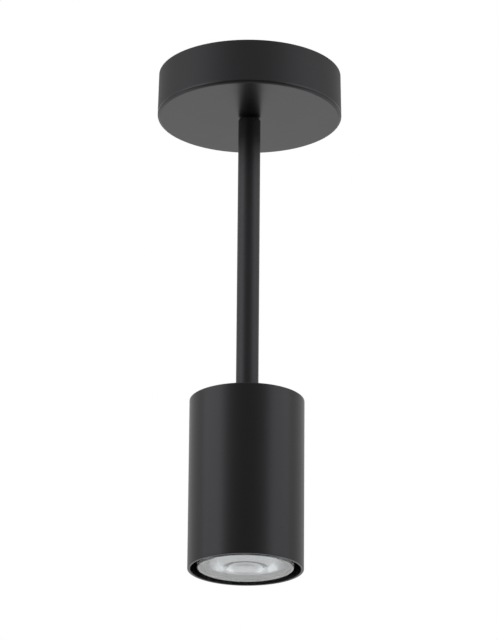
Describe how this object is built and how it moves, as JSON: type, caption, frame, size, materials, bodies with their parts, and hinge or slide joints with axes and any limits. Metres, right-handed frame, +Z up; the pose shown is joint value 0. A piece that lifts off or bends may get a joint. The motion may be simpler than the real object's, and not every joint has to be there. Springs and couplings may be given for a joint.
{
  "type": "ceiling spot lamp",
  "caption": "Satin black ceiling spot lamp: round ceiling canopy, rigid stem and cylindrical head holding a twist-lock reflector lamp.",
  "frame": {"origin": "centre of the mounting bracket's top face, in the ceiling plane, on the lamp's vertical axis", "axes": "+Z up towards the ceiling, the lamp hangs along -Z; X along the mounting bracket, -Y towards the viewer of the picture"},
  "size_m": [0.1, 0.1, 0.28],
  "materials": {
    "black_coat": "satin black powder coat",
    "zinc_steel": "bright zinc plate",
    "brass": "bare brass",
    "tinned_copper": "tinned copper",
    "white_plastic": "moulded polyamide",
    "bush_plastic": "moulded black nylon",
    "steatite": "unglazed steatite",
    "brown_insulation": "silicone insulation, brown",
    "blue_insulation": "silicone insulation, blue",
    "green_yellow_insulation": "silicone insulation, green with a yellow stripe",
    "lamp_white_plastic": "light grey thermoplastic",
    "lamp_pin_metal": "nickel plated",
    "clear_lens": "clear moulded lens with fine rings",
    "silver_reflector": "vacuum silvered",
    "light_board_metal": "white masked aluminium board",
    "yellow_phosphor": "phosphor under clear silicone",
    "green_board": "glass fibre board",
    "dark_components": "moulded components"
  },
  "bodies": {
    "fixture": {"canopy": "black_coat", "stem_tube": "black_coat", "stem_adapter": "black_coat", "head_shell": "black_coat", "canopy_lock_screws": "black_coat", "mounting_bracket": "zinc_steel", "terminal_fixing_screws": "zinc_steel", "terminal_clamp_screws": "zinc_steel", "bracket_earth_washer": "zinc_steel", "bracket_earth_screw": "zinc_steel", "canopy_washer": "zinc_steel", "canopy_nut": "zinc_steel", "head_nipple": "zinc_steel", "head_washer": "zinc_steel", "head_nut": "zinc_steel", "lampholder_strap": "zinc_steel", "lampholder_screws": "zinc_steel", "lampholder_nuts": "zinc_steel", "terminal_block_barrels": "brass", "lampholder_contacts": "brass", "bracket_ring_terminals": "tinned_copper", "head_ring_terminal": "tinned_copper", "wire_pins": "tinned_copper", "terminal_block_housing": "white_plastic", "canopy_wire_bush": "bush_plastic", "head_wire_bush": "bush_plastic", "lampholder_base": "steatite", "lampholder_cap": "steatite", "live_lead": "brown_insulation", "neutral_lead": "blue_insulation", "earth_lead": "green_yellow_insulation", "earth_jumper": "green_yellow_insulation"},
    "bulb": {"lamp_housing": "lamp_white_plastic", "lamp_base": "lamp_white_plastic", "lamp_pins": "lamp_pin_metal", "lamp_lens": "clear_lens", "lamp_reflector": "silver_reflector", "lamp_light_board": "light_board_metal", "lamp_light_source": "yellow_phosphor", "lamp_driver_board": "green_board", "lamp_driver_parts": "dark_components"}
  },
  "joints": [
    {"name": "bulb_twist", "type": "hinge", "parent": "fixture", "child": "bulb", "pos_m": [0, 0, -0.2327], "axis": [0, 0, -1], "range_deg": [0, 30]}
  ]
}
